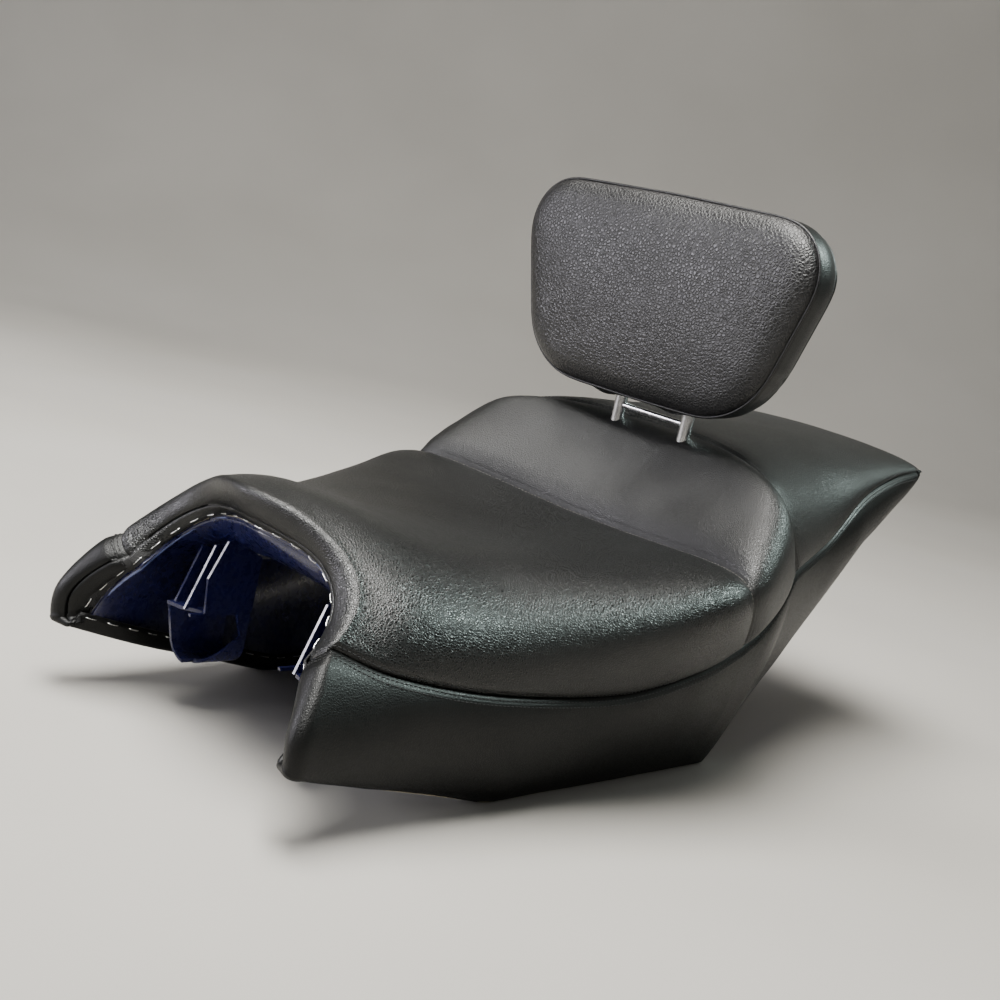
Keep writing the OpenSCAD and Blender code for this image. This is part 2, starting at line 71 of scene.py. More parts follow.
PASSENGER = fit([
    [[0, 545, 296], [120, 545, 296], [208, 460, 297], [190, 553, 200], [157, 545, 20]],
    [[0, 620, 300], [110, 620, 300], [180, 598, 286], [166, 640, 222], [152, 600, 78]],
    [[0, 700, 303], [100, 700, 303], [160, 700, 290], [150, 712, 262], [146, 690, 158]],
    [[0, 780, 305], [90, 780, 305], [140, 780, 296], [141, 780, 283], [140, 768, 225]],
    [[0, 838, 304], [80, 838, 304], [125, 838, 301], [136, 838, 292], [135, 838, 274]]])
PAN_RIM = fit([[[0, 71, 185], [24, 71, 185], [108, 107, 184], [114, 44, 116], [147, 26, 62]]])[0]

# How deep the pan lies under the top and behind the sides, one pair for each station.
DRIVER_DEPTH = np.array([[32, 26], [60, 26], [52, 16], [46, 12], [44, 12], [46, 12]]) * MM
HEM_DEPTH = np.array([[32, 16], [60, 26], [52, 16], [46, 12], [44, 12], [46, 12]]) * MM
BOLSTER_DEPTH = np.array([[46, 12], [76, 12], [106, 12], [120, 12]]) * MM
PASSENGER_DEPTH = np.array([[120, 12], [66, 12], [36, 12], [28, 12], [22, 12]]) * MM
BOLSTER_HOLLOW = np.array([[46, 12], [46, 12], [74, 12], [86, 12]]) * MM
PASSENGER_HOLLOW = np.array([[86, 12], [60, 12], [36, 12], [28, 12], [22, 12]]) * MM

COVER_T = 2 * MM
PAN_T = 3 * MM
GAP = 0.3 * MM
ROLL_R = np.array([9, 8, 17]) * MM     # at the middle, the side seam and the wing's tip


def through(values, u):
    """A smooth curve through a list of stations or depths."""
    i = min(int(u), len(values) - 2)
    f = u - i
    b, c = values[i], values[i + 1]
    a = values[i - 1] if i > 0 else 2 * b - c
    d = values[i + 2] if i + 2 < len(values) else 2 * c - b
    return 0.5 * (2 * b + (c - a) * f + (2 * a - 5 * b + 4 * c - d) * f * f
                  + (3 * b - a - 3 * c + d) * f ** 3)


def edge_z(y):
    """Height of the skirt's lower edge."""
    s = y / MM + MIDDLE
    return max(0, 52 * (225 - s) / 213, min(0.955 * (s - 517), 206 + 0.68 * (s - 732))) * MM


def station(skin, u):
    s = through(skin, u).copy()
    s[4, 2] = edge_z(s[4, 1])
    return s


def inward(s, top_in, side_in):
    """The station moved inward: top_in under the top, side_in behind the sides."""
    return s - np.array([[0, 0, top_in], [0.3 * side_in, 0, top_in],
                         [side_in + 0.3 * top_in, 0, 0.8 * top_in], [side_in, 0, 0], [side_in, 0, 0]])


def bezier(s, t):
    t = np.asarray(t)[:, None]
    return (1 - t) ** 3 * s[0] + 3 * (1 - t) ** 2 * t * s[1] + 3 * (1 - t) * t * t * s[2] + t ** 3 * s[3]


def skirt(s, t):
    t = np.asarray(t)[:, None]
    bulge = 0.4 * min(0.1, np.linalg.norm(s[4] - s[3]))
    return s[3] + (s[4] - s[3]) * t + np.array([bulge, 0, 0]) * t * (1 - t)


def lengths(points):
    return np.concatenate([[0], np.cumsum(np.linalg.norm(np.diff(points, axis=0), axis=1))])


def spread(run, values, where):
    """Rows of values at these distances, where run gives the distance of each known row."""
    return np.stack([np.interp(where, run, values[:, k]) for k in range(values.shape[1])], axis=1)


def at_lengths(points, where):
    """Points at these distances along a polyline."""
    return spread(lengths(points), points, where)


# ---- Grids ----
FINE = 13 * MM          # the band beside a seam that carries its stitches
FINE_STEPS = 14
TOP_STEPS = 44
SKIRT_STEPS = 18
DENSE = np.linspace(0, 1, 160)


def top_half(s):
    """Half a section of a top panel, from the centre to the side seam, finer beside the seam."""
    curve = bezier(s, DENSE)
    total = lengths(curve)[-1]
    coarse = np.linspace(0, total - FINE, TOP_STEPS)
    return at_lengths(curve, np.concatenate([coarse, np.linspace(total - FINE, total, FINE_STEPS)[1:]]))


def skirt_half(s, end=1.0):
    """The skirt's section, from the side seam to the lower edge, finer beside the seam."""
    curve = skirt(s, DENSE * end)
    total = lengths(curve)[-1]
    fine = min(FINE, total / 2)
    return at_lengths(curve, np.concatenate([np.linspace(0, fine, FINE_STEPS),
                                             np.linspace(fine, total, SKIRT_STEPS)[1:]]))


def flipped(points):
    return points * np.array([-1, 1, 1])


def whole(half):
    """A half section mirrored to the other side: from -X to +X."""
    return np.concatenate([flipped(half)[:0:-1], half])


def mirrored(values):
    """Values along a half section, repeated for the whole one."""
    return np.concatenate([values[:0:-1], values])


CLOSE = np.array([0.015, 0.03, 0.05, 0.07, 0.09, 0.12, 0.16])
STEPS = 10              # between two stations


def marks(skin):
    """Places along a skin: even steps, with close ones beside its seams at the first and last station."""
    last = len(skin) - 1
    even = np.linspace(0, last, last * STEPS + 1)
    even = even[(even > (-1 if skin is DRIVER else 0.2)) & (even < last - 0.2)]
    first = [] if skin is DRIVER else np.concatenate([[0], CLOSE])
    return np.concatenate([first, even, last - np.concatenate([CLOSE[::-1], [0]])])


def normals(grid, outward):
    """Unit normals of a grid, on the side that outward points to."""
    n = np.cross(np.gradient(grid, axis=1), np.gradient(grid, axis=0))
    n /= np.linalg.norm(n, axis=2, keepdims=True) + 1e-12
    return n if (n @ np.array(outward)).mean() > 0 else -n


def run_from(grid, side):
    """Distance of each grid point from one side of the grid, measured along the cloth."""
    g = facing(grid, side)
    d = np.concatenate([np.zeros((1,) + g.shape[1:2]),
                        np.cumsum(np.linalg.norm(np.diff(g, axis=0), axis=2), axis=0)])
    return {"first": d, "last": d[::-1], "left": d.T, "right": d.T[:, ::-1]}[side]


def facing(array, side):
    """A grid, or an array like it, turned so that its first row is the one on this side."""
    if side in ("left", "right"):
        array = array.swapaxes(0, 1)
    return array[::-1] if side in ("last", "right") else array


FREE_FROM = 12 * MM     # how far from a seam the cloth is free of it
DRAWN_IN = 2.4 * MM     # how deep a seam is drawn in, and over what width
DRAWN_WIDTH = 2.6 * MM
SEAM_AT = 4 * MM        # from a seam to its row of stitches
STITCH_DENT = 0.5 * MM
STITCH_DENT_WIDTH = 1.0 * MM
UNEVEN = 0.9 * MM


def upholster(grid, outward, seams, puff=1.5 * MM, size=0.05, seed=0.0):
    """Swells a panel between its seams, draws it in at them, and presses in the stitch lines.

    seams gives for each side the direction that the two joined panels share there.
    """
    n = normals(grid, outward)
    wide = SKIRT_COLS if grid.shape[1] == SKIRT_COLS + HEM_COLS else grid.shape[1]
    swelling = np.zeros(grid.shape)
    swelling[:, :wide] = swell(grid[:, :wide], outward)
    lift = np.full(grid.shape[:2], puff) + soft_noise(grid, size, UNEVEN, seed)
    drawn = np.zeros(grid.shape)
    free = np.ones(grid.shape[:2])
    for side, shared in seams.items():
        d = run_from(grid, side)
        free *= 1 - np.exp(-(d / FREE_FROM) ** 2)
        near = facing(np.exp(-(d / DRAWN_WIDTH) ** 2), side)
        facing(drawn, side)[...] -= DRAWN_IN * near[..., None] * shared
    lift *= free
    for side in seams:
        d = run_from(grid, side)
        lift -= STITCH_DENT * np.exp(-((d - SEAM_AT) / STITCH_DENT_WIDTH) ** 2)
    return grid + n * lift[..., None] + drawn + swelling * free[..., None]


SKIRT_COLS = FINE_STEPS + SKIRT_STEPS - 1
HEM_COLS = 15
SWELL_FRAMES = 20
SWELL_CAP = 5 * MM      # a stapled cover is tight, so it never moves further than this
SWELL_PRESSURE = 4.0
COARSE = 3              # the simulated sheet has every third row and column
SMOOTHINGS = 3


def swell(grid, outward, held_at=("first", "last", "left", "right"), closed=False):
    """How cloth held at its edges moves under the foam's pressure, by simulation on a coarser sheet."""
    count, wide = grid.shape[:2]
    rows = np.unique(np.append(np.arange(0, count, COARSE), count - 1))
    cols = np.arange(0, wide, COARSE)
    cols = cols if closed else np.unique(np.append(cols, wide - 1))
    small = grid[np.ix_(rows, cols)]
    faces = grid_faces(len(rows), len(cols), closed=closed)
    turned = np.cross(np.gradient(small, axis=1), np.gradient(small, axis=0))
    if (turned @ np.array(outward)).mean() < 0:
        faces = [f[::-1] for f in faces]
    mesh = bpy.data.meshes.new("swelling")
    mesh.from_pydata([tuple(v) for v in small.reshape(-1, 3)], [], faces)
    sheet = bpy.data.objects.new("swelling", mesh)
    scene = bpy.context.scene
    scene.collection.objects.link(sheet)
    ids = np.arange(small[..., 0].size).reshape(small.shape[:2])
    held = sheet.vertex_groups.new(name="held")
    for side in held_at:
        held.add([int(k) for k in facing(ids, side)[0]], 1.0, "REPLACE")
    cloth = sheet.modifiers.new("cloth", "CLOTH")
    cloth.settings.vertex_group_mass = "held"
    cloth.settings.use_pressure = True
    cloth.settings.uniform_pressure_force = SWELL_PRESSURE
    cloth.settings.effector_weights.gravity = 0
    cloth.point_cache.frame_start, cloth.point_cache.frame_end = 1, SWELL_FRAMES
    for k in range(1, SWELL_FRAMES + 1):
        scene.frame_set(k)
    done = sheet.evaluated_get(bpy.context.evaluated_depsgraph_get()).data
    after = np.array([v.co[:] for v in done.vertices]).reshape(small.shape)
    scene.frame_set(1)
    bpy.data.objects.remove(sheet)
    bpy.data.meshes.remove(mesh)
    move = after - small
    far = np.linalg.norm(move, axis=2, keepdims=True)
    move *= SWELL_CAP / (SWELL_CAP + far)
    for _ in range(SMOOTHINGS):
        move[1:-1] = (move[:-2] + 2 * move[1:-1] + move[2:]) / 4
        move[:, 1:-1] = (move[:, :-2] + 2 * move[:, 1:-1] + move[:, 2:]) / 4
    if closed:
        move, cols = np.concatenate([move, move[:, :1]], axis=1), np.append(cols, wide)
    across = np.stack([spread(cols, row, np.arange(wide)) for row in move])
    return np.stack([spread(rows, across[:, c], np.arange(count)) for c in range(wide)], axis=1)


def beside(grid, side, distance):
    """The line on a grid at this distance from one of its sides."""
    g = facing(grid, side)
    return np.array([at_lengths(g[:, c], [distance])[0] for c in range(g.shape[1])])


def soft_noise(grid, size, height, seed=0.0):
    """Height of a smooth unevenness at each grid point."""
    flat = grid.reshape(-1, 3) / size + seed
    return np.array([noise.noise(Vector(p)) for p in flat]).reshape(grid.shape[:2]) * height


# ---- Meshes ----
def grid_faces(rows, cols, base=0, closed=False):
    out = []
    for r in range(rows - 1):
        for c in range(cols if closed else cols - 1):
            a, b = base + r * cols + c, base + r * cols + (c + 1) % cols
            out.append((a, b, b + cols, a + cols))
    return out


def fan(cols, first, centre):
    """Triangles from a closed ring of vertices to one in its middle."""
    return [(first + k, first + (k + 1) % cols, centre) for k in range(cols)]


def add_object(name, verts, faces, material, smooth=True):
    mesh = bpy.data.meshes.new(name)
    mesh.from_pydata([tuple(v) for v in np.asarray(verts)], [], faces)
    mesh.validate()
    obj = bpy.data.objects.new(name, mesh)
    bpy.context.scene.collection.objects.link(obj)
    mesh.materials.append(material)
    mesh.polygons.foreach_set("use_smooth", [smooth] * len(mesh.polygons))
    fix_normals(mesh)
    return obj


def fix_normals(mesh):
    bm = bmesh.new()
    bm.from_mesh(mesh)
    bmesh.ops.recalc_face_normals(bm, faces=bm.faces)
    bm.to_mesh(mesh)
    bm.free()


def shell(name, outer, inner, material):
    """A closed solid between two equal grids."""
    rows, cols = outer.shape[:2]
    size = rows * cols
    faces = grid_faces(rows, cols) + [f[::-1] for f in grid_faces(rows, cols, size)]
    loop = ([(0, c) for c in range(cols)] + [(r, cols - 1) for r in range(1, rows)]
            + [(rows - 1, c) for c in range(cols - 2, -1, -1)] + [(r, 0) for r in range(rows - 2, 0, -1)])
    for (r, c), (r2, c2) in zip(loop, loop[1:] + loop[:1]):
        a, b = r * cols + c, r2 * cols + c2
        faces.append((b, a, a + size, b + size))
    return add_object(name, np.concatenate([outer.reshape(-1, 3), inner.reshape(-1, 3)]), faces, material)


def thick(name, outer, outward, material, thickness=COVER_T):
    return shell(name, outer, outer - normals(outer, outward) * thickness, material)


def tube_along(points, radius, sides=8, closed=False):
    """Vertices and faces of a round cord along a path."""
    points = np.asarray(points)
    count = len(points)
    if closed:
        tangent = np.roll(points, -1, 0) - np.roll(points, 1, 0)
    else:
        tangent = np.gradient(points, axis=0)
    tangent /= np.linalg.norm(tangent, axis=1, keepdims=True)
    across = np.cross(tangent, [0.13, 0.21, 1.0])
    across /= np.linalg.norm(across, axis=1, keepdims=True)
    other = np.cross(tangent, across)
    verts = []
    for a in np.arange(sides) * 2 * math.pi / sides:
        verts.append(points + (across * math.cos(a) + other * math.sin(a)) * np.reshape(radius, (-1, 1)))
    verts = np.stack(verts, axis=1).reshape(-1, 3)
    faces = grid_faces(count, sides, closed=True)
    if closed:
        last = (count - 1) * sides
        faces += [(last + k, last + (k + 1) % sides, (k + 1) % sides, k) for k in range(sides)]
    else:
        faces += [tuple(range(sides)), tuple(range((count - 1) * sides, count * sides))[::-1]]
    return verts, faces


def join_parts(name, parts, material):
    verts, faces, base = [], [], 0
    for v, f in parts:
        verts.append(v)
        faces += [tuple(i + base for i in q) for q in f]
        base += len(v)
    return add_object(name, np.concatenate(verts), faces, material)


STITCH = 3.0 * MM
STITCH_PITCH = 4.2 * MM
THREAD_R = 0.38 * MM
THREAD_PLACES = np.array([0, 0.12, 0.5, 0.88, 1]) * STITCH
THREAD_LIFT = np.array([-0.5, 0.05, 0.3, 0.05, -0.5])[:, None] * MM
THREAD_RADII = np.array([0.6, 1, 1, 1, 0.6]) * THREAD_R


def stitch_line(path, up):
    """Short thread segments along a line, each dipping into the cloth at its ends."""
    run = lengths(path)
    parts = []
    for start in np.arange(STITCH_PITCH / 2, run[-1] - STITCH, STITCH_PITCH):
        where = start + THREAD_PLACES
        out = unit(spread(run, up, where))
        parts.append(tube_along(spread(run, path, where) + out * THREAD_LIFT, THREAD_RADII, sides=6))
    return parts


def unit(v):
    v = np.asarray(v, float)
    return v / (np.linalg.norm(v, axis=-1, keepdims=True) + 1e-12)


# ---- Materials ----
def tree_of(name):
    material = bpy.data.materials.new(name)
    material.use_nodes = True
    tree = material.node_tree
    return material, tree, tree.nodes["Principled BSDF"]


def add_node(tree, kind, inputs=(), **settings):
    """A shader node with its settings and its inputs: numbers, colours or other nodes' outputs."""
    n = tree.nodes.new(kind)
    for key, value in settings.items():
        setattr(n, key, value)
    for key, value in dict(inputs).items():
        if isinstance(value, bpy.types.NodeSocket):
            tree.links.new(value, n.inputs[key])
        else:
            n.inputs[key].default_value = value
    return n


def spots(tree, coords, scale, detail=2.0, rough=0.5):
    return add_node(tree, "ShaderNodeTexNoise", {"Vector": coords, "Scale": scale, "Detail": detail,
                                                 "Roughness": rough}).outputs["Fac"]


def remap(tree, value, low, high, to_low, to_high):
    return add_node(tree, "ShaderNodeMapRange", {"Value": value, "From Min": low, "From Max": high,
                                                 "To Min": to_low, "To Max": to_high}).outputs["Result"]


def blend_colours(tree, fac, a, b):
    n = add_node(tree, "ShaderNodeMix", {"Factor": fac}, data_type="RGBA")
    n.inputs[6].default_value = (*a, 1)
    n.inputs[7].default_value = (*b, 1)
    return n.outputs[2]


def combine(tree, operation, a, b):
    return add_node(tree, "ShaderNodeMath", {0: a, 1: b}, operation=operation).outputs[0]


def warped(tree, scale, amount):
    """Object coordinates pushed about a little, so that a pattern isn't regular."""
    coords = add_node(tree, "ShaderNodeTexCoord").outputs["Object"]
    push = add_node(tree, "ShaderNodeTexNoise", {"Vector": coords, "Scale": scale}).outputs["Color"]
    centred = add_node(tree, "ShaderNodeVectorMath", {0: push, 1: (0.5, 0.5, 0.5)},
                       operation="SUBTRACT").outputs[0]
    scaled = add_node(tree, "ShaderNodeVectorMath", {0: centred, "Scale": amount},
                      operation="SCALE").outputs[0]
    return coords, add_node(tree, "ShaderNodeVectorMath", {0: coords, 1: scaled}).outputs[0]


def surface(tree, shader, colour, rough, strength, depth, height):
    """Feeds a material's colour, roughness and bump into its shader."""
    bump = add_node(tree, "ShaderNodeBump", {"Strength": strength, "Distance": depth, "Height": height})
    for value, name in ((colour, "Base Color"), (rough, "Roughness"), (bump.outputs[0], "Normal")):
        tree.links.new(value, shader.inputs[name])


def vinyl(name, dark, light, rough, grain, depth, specular=0.5):
    """Embossed vinyl: irregular pebbles with creases between them, over a faint large unevenness. The
    creases are coloured darker as painted shade.
    """
    material, tree, shader = tree_of(name)
    coords, bent = warped(tree, 0.35 / grain, grain * 1.1)
    crease = add_node(tree, "ShaderNodeTexVoronoi", {"Vector": bent, "Scale": 1 / grain, "Randomness": 1.0},
                      feature="DISTANCE_TO_EDGE").outputs["Distance"]
    pebble = remap(tree, crease, 0.0, 0.26, 0.0, 1.0)
    fine = spots(tree, coords, 2.2 / grain, 3.0, 0.6)
    height = combine(tree, "ADD", combine(tree, "MULTIPLY", pebble, 0.72),
                     combine(tree, "MULTIPLY", fine, 0.55))
    cloudy = spots(tree, coords, 7.0, 3.0)
    # Painted shade: the colour is darkest in the creases between the pebbles, times a random cloudiness.
    shade_and_cloud = combine(tree, "MULTIPLY", pebble, remap(tree, cloudy, 0.3, 0.7, 0.55, 1.0))
    shader.inputs["Base Color"].default_value = (*light, 1)
    shine = combine(tree, "ADD", remap(tree, cloudy, 0.3, 0.7, rough - 0.05, rough + 0.05),
                    remap(tree, pebble, 0.0, 1.0, 0.16, 0.0))
    surface(tree, shader, blend_colours(tree, shade_and_cloud, dark, light), shine, 1.0, depth, height)
    shader.inputs["Specular IOR Level"].default_value = specular
    return material


def plastic(name, dark, light, rough, depth=0.00005, scale=260.0, coat=0.0):
    """Moulded plastic: slight orange peel, cloudy colour, faint scuffs."""
    material, tree, shader = tree_of(name)
    coords, bent = warped(tree, 40.0, 0.01)
    colour = blend_colours(tree, remap(tree, spots(tree, bent, 14.0, 4.0), 0.35, 0.65, 0, 1), dark, light)
    scuffs = remap(tree, spots(tree, bent, 120.0, 5.0, 0.7), 0.35, 0.7, rough - 0.05, rough + 0.12)
    surface(tree, shader, colour, scuffs, 0.6, depth, spots(tree, coords, scale, 3.0))
    shader.inputs["Coat Weight"].default_value = coat
    shader.inputs["Coat Roughness"].default_value = 0.12
    return material


def metal(name, dark, light, rough, stretch=(900, 900, 60), metallic=1.0):
    """Drawn or plated steel: fine lines along one way and a few duller patches."""
    material, tree, shader = tree_of(name)
    coords = add_node(tree, "ShaderNodeTexCoord").outputs["Object"]
    drawn = add_node(tree, "ShaderNodeVectorMath", {0: coords, 1: stretch}, operation="MULTIPLY").outputs[0]
    lines = spots(tree, drawn, 1.0, 4.0)
    patches = spots(tree, coords, 60.0, 3.0)
    colour = blend_colours(tree, remap(tree, patches, 0.35, 0.65, 0, 1), dark, light)
    dull = combine(tree, "ADD", remap(tree, lines, 0.3, 0.7, rough - 0.06, rough + 0.06),
                   remap(tree, patches, 0.5, 0.8, 0.0, 0.12))
    surface(tree, shader, colour, dull, 0.25, 0.00004, lines)
    shader.inputs["Metallic"].default_value = metallic
    return material


def porous(name, dark, light, cell, depth):
    """Open foam, felt or rubber: small pits of uneven size, coloured darker inside as painted shade."""
    material, tree, shader = tree_of(name)
    coords, bent = warped(tree, 0.5 / cell, cell)
    pits = add_node(tree, "ShaderNodeTexVoronoi", {"Vector": bent, "Scale": 1 / cell}).outputs["Distance"]
    cloudy = spots(tree, coords, 12.0, 4.0)
    # Painted shade: the colour is darkest in the pits, times a random cloudiness.
    shade_and_cloud = combine(tree, "MULTIPLY", remap(tree, pits, 0, 0.6, 0.2, 1.0), cloudy)
    dull = remap(tree, pits, 0.0, 0.6, 0.95, 0.8)
    surface(tree, shader, blend_colours(tree, shade_and_cloud, dark, light), dull, 1.0, depth, pits)
    return material


COVER = vinyl("cover vinyl", (0.0018, 0.0022, 0.0021), (0.0040, 0.0050, 0.0047),
              0.27, 2.1 * MM, 0.24 * MM, 0.42)
PANEL = vinyl("panel vinyl", (0.0036, 0.0039, 0.0036), (0.0080, 0.0087, 0.0081),
              0.36, 1.9 * MM, 0.22 * MM, 0.40)
SIDE = vinyl("skirt vinyl", (0.0016, 0.0019, 0.0017), (0.0032, 0.0038, 0.0035),
             0.34, 2.0 * MM, 0.13 * MM, 0.22)
PAD_FRONT_VINYL = vinyl("pad vinyl", (0.0024, 0.0023, 0.0028), (0.0066, 0.0063, 0.0073),
                        0.33, 3.4 * MM, 0.34 * MM, 0.5)
PAD_SIDE = vinyl("pad side vinyl", (0.0018, 0.0019, 0.0020), (0.0036, 0.0038, 0.0040),
                 0.32, 2.0 * MM, 0.12 * MM, 0.42)
BACKING = porous("vinyl backing", (0.006, 0.006, 0.006), (0.03, 0.03, 0.032), 0.9 * MM, 0.5 * MM)
THREAD_BLACK = porous("black thread", (0.006, 0.006, 0.007), (0.022, 0.022, 0.024), 0.5 * MM, 0.2 * MM)
THREAD_GREY = porous("grey thread", (0.07, 0.068, 0.062), (0.24, 0.235, 0.21), 0.5 * MM, 0.2 * MM)
NAVY = plastic("navy plastic", (0.007, 0.008, 0.050), (0.009, 0.011, 0.068),
               0.26, 0.00001, 90.0, coat=0.35)
# Painted highlight: the pan's rim is the same navy plastic, coloured pale blue for the bright line along
# its glossy edge.
PAN_RIM_HIGHLIGHT = plastic("pan rim painted highlight", (0.10, 0.13, 0.34), (0.20, 0.24, 0.50), 0.28, coat=0.5)
STEEL = metal("bright steel", (0.48, 0.48, 0.49), (0.66, 0.66, 0.66), 0.24)
ZINC = metal("zinc-plated steel", (0.40, 0.40, 0.37), (0.56, 0.56, 0.52), 0.34, (500, 500, 500))
STAPLE = metal("staple wire", (0.62, 0.62, 0.60), (0.85, 0.85, 0.83), 0.30, (400, 400, 400))
BLACK_STEEL = metal("black painted steel", (0.010, 0.010, 0.010), (0.022, 0.022, 0.022),
                    0.42, (300, 300, 300), 0.0)
FOAM = porous("polyurethane foam", (0.42, 0.36, 0.22), (0.80, 0.74, 0.55), 1.6 * MM, 0.8 * MM)
RUBBER = porous("black rubber", (0.008, 0.008, 0.008), (0.022, 0.022, 0.021), 0.7 * MM, 0.08 * MM)
NYLON = plastic("white nylon", (0.62, 0.61, 0.56), (0.78, 0.77, 0.72), 0.45)
BOARD = plastic("pad board", (0.025, 0.025, 0.026), (0.05, 0.05, 0.052), 0.55, 0.0002, 180.0)


# ---- Seat cover ----
UP = (0, 0, 1)
LEFT = (1, 0, 0)
ROLL_ANGLES = np.radians(np.concatenate([np.linspace(178, 112, 13), np.linspace(106, 0, 15)[:-1]]))
CREASE = math.radians(114)
LIP_HEIGHTS = np.array([218, 138, 78]) * MM
WING_FULL = np.array([2, -9, 2]) * MM
WING_TIP = (12 - MIDDLE) * MM
WING_LONG = 70 * MM
HEM_R = 3 * MM
HEM_UP = 12 * MM


def roll_radii(front):
    """How far the roll stands out in front, along a section that runs from the middle or from a wing."""
    return np.interp(-front[:, 2], -LIP_HEIGHTS, ROLL_R)


def roll_row(front, rim, a, radii):
    """The row at one angle round the roll. Past the crease the cover lies flat over the pan's flange."""
    tight = 1 - 0.22 * math.exp(-((a - CREASE) / 0.10) ** 2) - 0.16 * max(0, a - CREASE)
    share = math.cos(a) * (1 if a < CREASE else tight ** 0.5)
    ahead = np.zeros(front.shape)
    ahead[:, 1] = -radii * math.sin(a) * tight
    return (front + rim) / 2 + (front - rim) / 2 * share + ahead


def rolled(front, rim, radii):
    """Rows that turn the cover over the front of the foam, from the pan's rim to the panel."""
    return np.stack([roll_row(front, rim, a, radii) for a in ROLL_ANGLES])


def hemmed(s, depth):
    """The skirt's section with its lower edge turned under and up the inside of the pan."""
    line = skirt_half(s, 1 - HEM_R / max(0.018, np.linalg.norm(s[4] - s[3])))
    width = depth[1] + GAP + PAN_T + COVER_T
    edge = s[4]
    quarter = np.radians(np.linspace(20, 90, 4))
    turn = [edge + [-HEM_R * (1 - math.cos(a)), 0, HEM_R * (1 - math.sin(a))] for a in quarter]
    floor_line = [edge + [-HEM_R - (width - 2 * HEM_R) * t, 0, 0] for t in (0.25, 0.5, 0.75, 1)]
    back = [edge + [-width + HEM_R * (1 - math.sin(a)), 0, HEM_R * (1 - math.cos(a))] for a in quarter]
    rise = unit(s[3] - s[4])
    up = [back[-1] + rise * HEM_UP * t for t in (0.3, 0.6, 1)]
    return np.concatenate([line, turn, floor_line, back, up])


def fuller_wing(rows):
    """Pushes the skirt out and forward near the wing's tip, so that the wing ends blunt."""
    t = np.linspace(0, 1, SKIRT_COLS)
    shape = 6.75 * t * t * (1 - t)
    near = np.clip(1 - (rows[:, :SKIRT_COLS, 1] - WING_TIP) / WING_LONG, 0, 1)
    rows[:, :SKIRT_COLS] += (near * shape)[..., None] * WING_FULL
    return rows


def skirt_roll():
    """The skirt's rows round the wing's front edge; the hem closes the bottom of the wing there."""
    front = hemmed(station(DRIVER, 0), HEM_DEPTH[0])
    rows = rolled(front, hemmed(PAN_RIM, HEM_DEPTH[0]), roll_radii(front))
    edge = SKIRT_COLS - 1
    hem = front[edge:]
    share = (lengths(hem) / lengths(hem)[-1])[:, None]
    for row in rows:
        row[edge:] = hem + (row[edge] - front[edge]) * (1 - share)
    return rows


def top_rows(skin):
    return [whole(top_half(station(skin, u))) for u in marks(skin)]


def top_roll():
    front = top_half(station(DRIVER, 0))
    return rolled(whole(front), whole(top_half(PAN_RIM)), mirrored(roll_radii(front)))


def side_sections():
    """The skin, the pan's depths and the place of each section along the sides, shared ones only once."""
    places = [(DRIVER, DRIVER_DEPTH, u) for u in marks(DRIVER)]
    for skin, depths in ((BOLSTER, BOLSTER_DEPTH), (PASSENGER, PASSENGER_DEPTH)):
        places += [(skin, depths, u) for u in marks(skin)[1:]]
    return places


def skirt_row(skin, depths, u):
    return hemmed(station(skin, u), through(HEM_DEPTH if skin is DRIVER else depths, u))


driver_flat = np.concatenate([top_roll(), top_rows(DRIVER)])
bolster_flat = np.stack(top_rows(BOLSTER))
passenger_flat = np.stack(top_rows(PASSENGER))
skirt_flat = fuller_wing(np.concatenate([skirt_roll(), [skirt_row(*place) for place in side_sections()]]))
top_normals = [normals(g, UP) for g in (driver_flat, bolster_flat, passenger_flat)]
skirt_normals = normals(skirt_flat, LEFT)
side_shared = unit(np.concatenate([top_normals[0][:, -1], top_normals[1][1:, -1], top_normals[2][1:, -1]])
                   + skirt_normals[:, 0])
rows_of = np.cumsum([0, len(driver_flat), len(bolster_flat) - 1, len(passenger_flat) - 1])
ends_shared = [unit(top_normals[0][-1] + top_normals[1][0]), unit(top_normals[1][-1] + top_normals[2][0]),
               unit(top_normals[2][-1] + np.array([0, 1, 0]))]


def panel_seams(k):
    """The seam directions that a top panel shares with its neighbours. The first has no front seam."""
    side = side_shared[rows_of[k] - (k > 0):rows_of[k + 1]]
    front = {"first": ends_shared[k - 1]} if k > 0 else {}
    return {**front, "last": ends_shared[k], "right": side, "left": flipped(side)}


driver_grid = upholster(driver_flat, UP, panel_seams(0))
bolster_grid = upholster(bolster_flat, UP, panel_seams(1), puff=4 * MM, size=0.04, seed=3.0)
passenger_grid = upholster(passenger_flat, UP, panel_seams(2), puff=2 * MM, size=0.06, seed=7.0)
skirt_tail = unit(skirt_normals[-1] + np.array([0, 1, 0]))
skirt_grid = upholster(skirt_flat, LEFT, {"left": side_shared, "last": skirt_tail}, seed=11.0)
skirt_grid[..., 2] = np.maximum(skirt_grid[..., 2], 0.3 * MM)

driver_piece = thick("driver_cover", driver_grid, UP, COVER)
bolster_piece = thick("bolster_cover", bolster_grid, UP, PANEL)
passenger_piece = thick("passenger_cover", passenger_grid, UP, PANEL)
skirts = [(thick("skirt_left", skirt_grid, LEFT, SIDE), skirt_grid),
          (thick("skirt_right", flipped(skirt_grid), (-1, 0, 0), SIDE), flipped(skirt_grid))]

for piece, cad_node in ((driver_piece, "cover_driver"), (bolster_piece, "cover_bolster"),
                        (passenger_piece, "cover_passenger"), (skirts[0][0], "cover_skirt_left"),
                        (skirts[1][0], "cover_skirt_right")):
    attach(piece, "seat")
    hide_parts(cad_node)


ALLOWANCE_R = 2.6 * MM
ALLOWANCE_DOWN = 3.2 * MM


